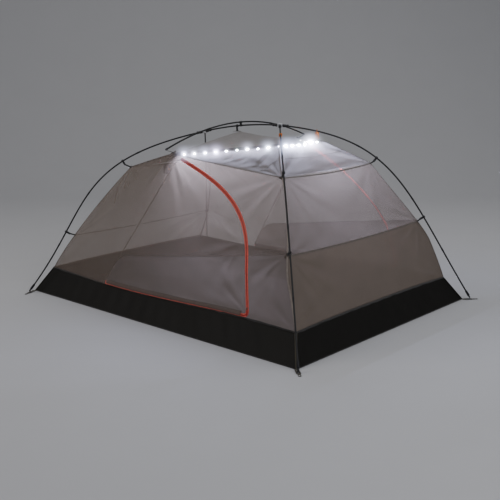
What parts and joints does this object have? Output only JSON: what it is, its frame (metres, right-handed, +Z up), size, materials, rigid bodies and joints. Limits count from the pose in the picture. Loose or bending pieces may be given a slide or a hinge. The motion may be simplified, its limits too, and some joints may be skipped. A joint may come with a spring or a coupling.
{
  "type": "dome tent body with light string",
  "caption": "Freestanding dome tent body on a hubbed pole frame, with bathtub floor, mesh walls, zipped side doors and a light string under the ceiling seams.",
  "frame": {"origin": "on the ground, centre of the floor outline", "axes": "+X towards the head end, which is wider and taller; +Y towards the back door; +Z up"},
  "size_m": [2.3759, 1.8952, 1.145],
  "materials": {
    "pole": "black anodised, satin",
    "hub": "satin silver",
    "tub_fabric": "coated ripstop, near black olive",
    "ceiling_fabric": "thin grey ripstop",
    "mesh_fabric": "warm grey fine mesh over a lighter solid lower panel",
    "zip": "red-orange zip tape",
    "clip_plastic": "moulded",
    "webbing": "woven",
    "orange_webbing": "woven, orange",
    "case": "fine texture",
    "cell": "plain sleeve",
    "light_tape": "translucent tape with lit cool white emitters"
  },
  "bodies": {
    "root": {"tub_floor": "tub_fabric", "front_wall": "mesh_fabric", "front_zip_frame_side": "zip", "back_wall": "mesh_fabric", "back_zip_frame_side": "zip", "head_wall": "mesh_fabric", "foot_wall": "mesh_fabric", "roof": "ceiling_fabric", "head_hub": "hub", "foot_hub": "hub", "ridge_pole": "pole", "leg_lower_head_front": "pole", "leg_upper_head_front": "pole", "leg_foot_head_front": "clip_plastic", "corner_strap_head_front": "webbing", "leg_lower_head_back": "pole", "leg_upper_head_back": "pole", "leg_foot_head_back": "clip_plastic", "corner_strap_head_back": "webbing", "leg_lower_foot_front": "pole", "leg_upper_foot_front": "pole", "leg_foot_foot_front": "clip_plastic", "corner_strap_foot_front": "webbing", "leg_lower_foot_back": "pole", "leg_upper_foot_back": "pole", "leg_foot_foot_back": "clip_plastic", "corner_strap_foot_back": "webbing", "brow_strap_front": "webbing", "brow_strap_back": "webbing", "head_tab_front": "orange_webbing", "head_tab_back": "orange_webbing", "ceiling_hook": "clip_plastic", "light_string": "light_tape", "light_lead": "webbing", "battery_case": "case", "battery_cells": "cell"},
    "brow": {"brow_pole": "pole", "brow_swivel": "clip_plastic"},
    "front_door": {"front_door": "mesh_fabric", "front_zip_door_side": "zip"},
    "back_door": {"back_door": "mesh_fabric", "back_zip_door_side": "zip"},
    "front_slider": {"front_slider": "hub"},
    "back_slider": {"back_slider": "hub"},
    "front_pull": {"front_pull": "zip"},
    "back_pull": {"back_pull": "zip"},
    "light_button": {"light_button": "orange_webbing"},
    "battery_lid": {"battery_lid": "case"},
    "stake_loop_head_front": {"stake_loop_head_front": "webbing"},
    "mid_clip_head_front": {"mid_clip_head_front": "clip_plastic"},
    "upper_clip_head_front": {"upper_clip_head_front": "clip_plastic"},
    "stake_loop_head_back": {"stake_loop_head_back": "webbing"},
    "mid_clip_head_back": {"mid_clip_head_back": "clip_plastic"},
    "upper_clip_head_back": {"upper_clip_head_back": "clip_plastic"},
    "stake_loop_foot_front": {"stake_loop_foot_front": "webbing"},
    "mid_clip_foot_front": {"mid_clip_foot_front": "clip_plastic"},
    "upper_clip_foot_front": {"upper_clip_foot_front": "clip_plastic"},
    "stake_loop_foot_back": {"stake_loop_foot_back": "webbing"},
    "mid_clip_foot_back": {"mid_clip_foot_back": "clip_plastic"},
    "upper_clip_foot_back": {"upper_clip_foot_back": "clip_plastic"}
  },
  "joints": [
    {"name": "brow_pole_swivel", "type": "hinge", "parent": "root", "child": "brow", "pos_m": [0, 0, 1.128], "axis": [0, 0, 1], "range_deg": [-35, 35]},
    {"name": "front_door_swing", "type": "hinge", "parent": "root", "child": "front_door", "pos_m": [-0.505, -0.72399, 0.1622], "axis": [-0.5564, -0.1232, -0.8218], "range_deg": [0, 95]},
    {"name": "front_zip_slide", "type": "slide", "parent": "front_door", "child": "front_slider", "axis": [-0.1783, 0.1713, 0.969], "range_m": [0, 0.16]},
    {"name": "front_pull_swing", "type": "hinge", "parent": "front_slider", "child": "front_pull", "pos_m": [0.70858, -0.76117, 0.20535], "axis": [-0.9835, -0.0002, -0.1809], "range_deg": [0, 120]},
    {"name": "back_door_swing", "type": "hinge", "parent": "root", "child": "back_door", "pos_m": [-0.505, 0.72399, 0.1622], "axis": [0.5564, -0.1232, 0.8218], "range_deg": [0, 95]},
    {"name": "back_zip_slide", "type": "slide", "parent": "back_door", "child": "back_slider", "axis": [-0.1783, -0.1713, 0.969], "range_m": [0, 0.16]},
    {"name": "back_pull_swing", "type": "hinge", "parent": "back_slider", "child": "back_pull", "pos_m": [0.70858, 0.76117, 0.20535], "axis": [0.9835, -0.0002, 0.1809], "range_deg": [0, 120]},
    {"name": "light_button_press", "type": "slide", "parent": "root", "child": "light_button", "axis": [-1, 0, 0], "range_m": [0, 0.001]},
    {"name": "battery_lid_swing", "type": "hinge", "parent": "root", "child": "battery_lid", "pos_m": [-0.105, -0.5471, 0.856], "axis": [-1, 0, 0], "range_deg": [0, 110]},
    {"name": "stake_loop_lift_head_front", "type": "hinge", "parent": "root", "child": "stake_loop_head_front", "pos_m": [1.19488, -0.9225, 0.0014], "axis": [-0.6743, -0.7384, 0], "range_deg": [0, 90]},
    {"name": "stake_loop_lift_head_back", "type": "hinge", "parent": "root", "child": "stake_loop_head_back", "pos_m": [1.19488, 0.9225, 0.0014], "axis": [0.6743, -0.7384, 0], "range_deg": [0, 90]},
    {"name": "stake_loop_lift_foot_front", "type": "hinge", "parent": "root", "child": "stake_loop_foot_front", "pos_m": [-1.11645, -0.88113, 0.0014], "axis": [-0.9362, -0.3514, 0], "range_deg": [0, 90]},
    {"name": "stake_loop_lift_foot_back", "type": "hinge", "parent": "root", "child": "stake_loop_foot_back", "pos_m": [-1.11645, 0.88113, 0.0014], "axis": [0.9362, -0.3514, 0], "range_deg": [0, 90]},
    {"name": "mid_clip_turn_head_front", "type": "hinge", "parent": "root", "child": "mid_clip_head_front", "pos_m": [0.94396, -0.686, 0.546], "axis": [-0.3887, 0.3638, 0.8465], "range_deg": [-12, 12]},
    {"name": "upper_clip_turn_head_front", "type": "hinge", "parent": "root", "child": "upper_clip_head_front", "pos_m": [0.71961, -0.46416, 0.925], "axis": [-0.5439, 0.5773, 0.609], "range_deg": [-12, 12]},
    {"name": "mid_clip_turn_head_back", "type": "hinge", "parent": "root", "child": "mid_clip_head_back", "pos_m": [0.94396, 0.686, 0.546], "axis": [-0.3887, -0.3638, 0.8465], "range_deg": [-12, 12]},
    {"name": "upper_clip_turn_head_back", "type": "hinge", "parent": "root", "child": "upper_clip_head_back", "pos_m": [0.71961, 0.46416, 0.925], "axis": [-0.5439, -0.5773, 0.609], "range_deg": [-12, 12]},
    {"name": "mid_clip_turn_foot_front", "type": "hinge", "parent": "root", "child": "mid_clip_foot_front", "pos_m": [-0.94888, -0.67456, 0.409], "axis": [0.3372, 0.3593, 0.8702], "range_deg": [-12, 12]},
    {"name": "upper_clip_turn_foot_front", "type": "hinge", "parent": "root", "child": "upper_clip_foot_front", "pos_m": [-0.68527, -0.39381, 0.873], "axis": [0.5842, 0.6217, 0.5216], "range_deg": [-12, 12]},
    {"name": "mid_clip_turn_foot_back", "type": "hinge", "parent": "root", "child": "mid_clip_foot_back", "pos_m": [-0.94888, 0.67456, 0.409], "axis": [0.3372, -0.3593, 0.8702], "range_deg": [-12, 12]},
    {"name": "upper_clip_turn_foot_back", "type": "hinge", "parent": "root", "child": "upper_clip_foot_back", "pos_m": [-0.68527, 0.39381, 0.873], "axis": [0.5842, -0.6217, 0.5216], "range_deg": [-12, 12]}
  ]
}
